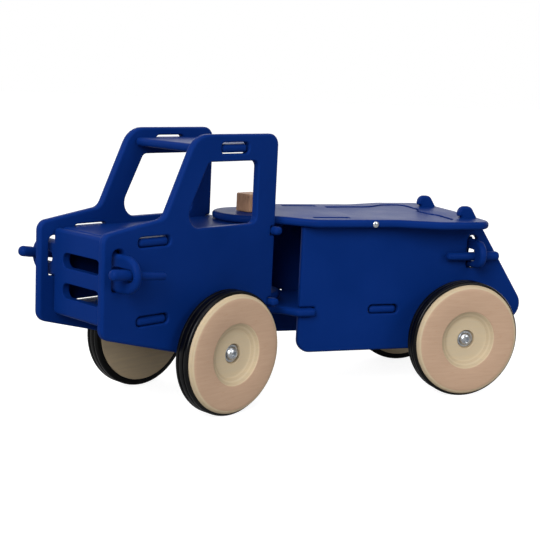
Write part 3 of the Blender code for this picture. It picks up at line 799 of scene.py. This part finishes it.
CAMERA_AT = (464.2, 1375.7, 408.1)
CAMERA_YAW, CAMERA_PITCH, CAMERA_ROLL = -19.818, 10.0, 2.751
LENS = 76.42
SENSOR = 36.0
SWEEP_GLOW, ROOM_GLOW, CEILING_SHARE = 2.3, 0.17, 0.4
FLOOR_HALF, FLOOR_GLOW = 12.0, 0.86
SOFTBOX_AIM = (0, 0, 0.15)
SOFTBOXES = {
    "top_softbox": ((0.2, 0.5, 2.2), (2.0, 1.6), 16),
    "front_softbox": ((1.6, 2.0, 1.6), (1.6, 1.6), 82),
    "side_softbox": ((-1.4, 2.2, 1.5), (1.4, 1.4), 24),
}


def add_camera():
    """The camera, placed about the steering pin: yaw from -Y to +X, pitch below level, roll clockwise."""
    yaw, pitch, roll = (math.radians(value) for value in (CAMERA_YAW, CAMERA_PITCH, CAMERA_ROLL))
    ahead = Vector((math.sin(yaw) * math.cos(pitch), -math.cos(yaw) * math.cos(pitch), -math.sin(pitch)))
    level = ahead.cross(Vector((0, 0, 1))).normalized()
    upright = level.cross(ahead)
    right = math.cos(roll) * level + math.sin(roll) * upright
    up = math.cos(roll) * upright - math.sin(roll) * level
    data = bpy.data.cameras.new("camera")
    data.lens = LENS
    data.sensor_width = SENSOR
    camera = bpy.data.objects.new("camera", data)
    bpy.context.scene.collection.objects.link(camera)
    turn = Matrix((right, up, -ahead)).transposed().to_4x4()
    camera.matrix_world = Matrix.Translation(PIVOT + Vector(CAMERA_AT) * MM) @ turn
    bpy.context.scene.camera = camera


def add_softbox(name, at, size, power):
    """A rectangular area light that faces the truck."""
    data = bpy.data.lights.new(name, "AREA")
    data.shape = "RECTANGLE"
    data.size, data.size_y = size
    data.energy = power
    light = bpy.data.objects.new(name, data)
    bpy.context.scene.collection.objects.link(light)
    light.location = at
    light.rotation_euler = (Vector(SOFTBOX_AIM) - Vector(at)).to_track_quat("-Z", "Y").to_euler()


def add_floor():
    """A plain floor, seen as bright as the sweep behind it, which gives the truck only a softer bounce."""
    mesh = bpy.data.meshes.new("floor")
    turns = ((-1, -1), (1, -1), (1, 1), (-1, 1))
    corners = [(across * FLOOR_HALF, along * FLOOR_HALF, 0) for across, along in turns]
    mesh.from_pydata(corners, [], [(0, 1, 2, 3)])
    g = Graph("pale_floor")
    bright = g.add("LightPath").outputs["Is Camera Ray"]
    mesh.materials.append(g.surface(
        base_color=opaque(0.4, 0.4, 0.4), roughness=0.9, specular_ior_level=0.0,
        emission_color=opaque(1, 1, 1), emission_strength=g.maths("MULTIPLY", bright, FLOOR_GLOW),
    ))
    floor = bpy.data.objects.new("floor", mesh)
    bpy.context.scene.collection.objects.link(floor)
    floor.location.z = -0.0003


def add_world():
    """A white studio, seen as plain white. The room and the ceiling are dimmer than the sweep."""
    world = bpy.data.worlds.new("studio")
    world.use_nodes = True
    bpy.context.scene.world = world
    tree = world.node_tree
    background = tree.nodes["Background"]
    seen = tree.nodes.new("ShaderNodeBackground")
    seen.inputs["Color"].default_value = opaque(1, 1, 1)
    mix = tree.nodes.new("ShaderNodeMixShader")
    path = tree.nodes.new("ShaderNodeLightPath")
    direction = tree.nodes.new("ShaderNodeTexCoord")
    parts = tree.nodes.new("ShaderNodeSeparateXYZ")

    def ramp(value, start, end, low, high):
        """The value's range from start to end, moved smoothly to the range from low to high."""
        node = tree.nodes.new("ShaderNodeMapRange")
        node.interpolation_type = "SMOOTHSTEP"
        for key, number in (("From Min", start), ("From Max", end), ("To Min", low), ("To Max", high)):
            node.inputs[key].default_value = number
        tree.links.new(value, node.inputs["Value"])
        return node.outputs["Result"]

    tree.links.new(direction.outputs["Generated"], parts.inputs["Vector"])
    towards_room = ramp(parts.outputs["Y"], -0.7, 0.3, SWEEP_GLOW, ROOM_GLOW)
    towards_ceiling = ramp(parts.outputs["Z"], 0.1, 0.6, 1.0, CEILING_SHARE)
    glow = tree.nodes.new("ShaderNodeMath")
    glow.operation = "MULTIPLY"
    tree.links.new(towards_room, glow.inputs[0])
    tree.links.new(towards_ceiling, glow.inputs[1])
    tree.links.new(glow.outputs[0], background.inputs["Strength"])
    background.inputs["Color"].default_value = opaque(1, 1, 1)
    tree.links.new(path.outputs["Is Camera Ray"], mix.inputs["Fac"])
    tree.links.new(background.outputs["Background"], mix.inputs[1])
    tree.links.new(seen.outputs["Background"], mix.inputs[2])
    tree.links.new(mix.outputs["Shader"], tree.nodes["World Output"].inputs["Surface"])


def build_studio():
    add_camera()
    add_floor()
    add_world()
    for name, (at, size, power) in SOFTBOXES.items():
        add_softbox(name, at, size, power)
    bpy.context.scene.view_settings.view_transform = "Standard"


build_cab()
build_steering_pin()
build_chassis()
build_flap()
build_wheels()
build_studio()
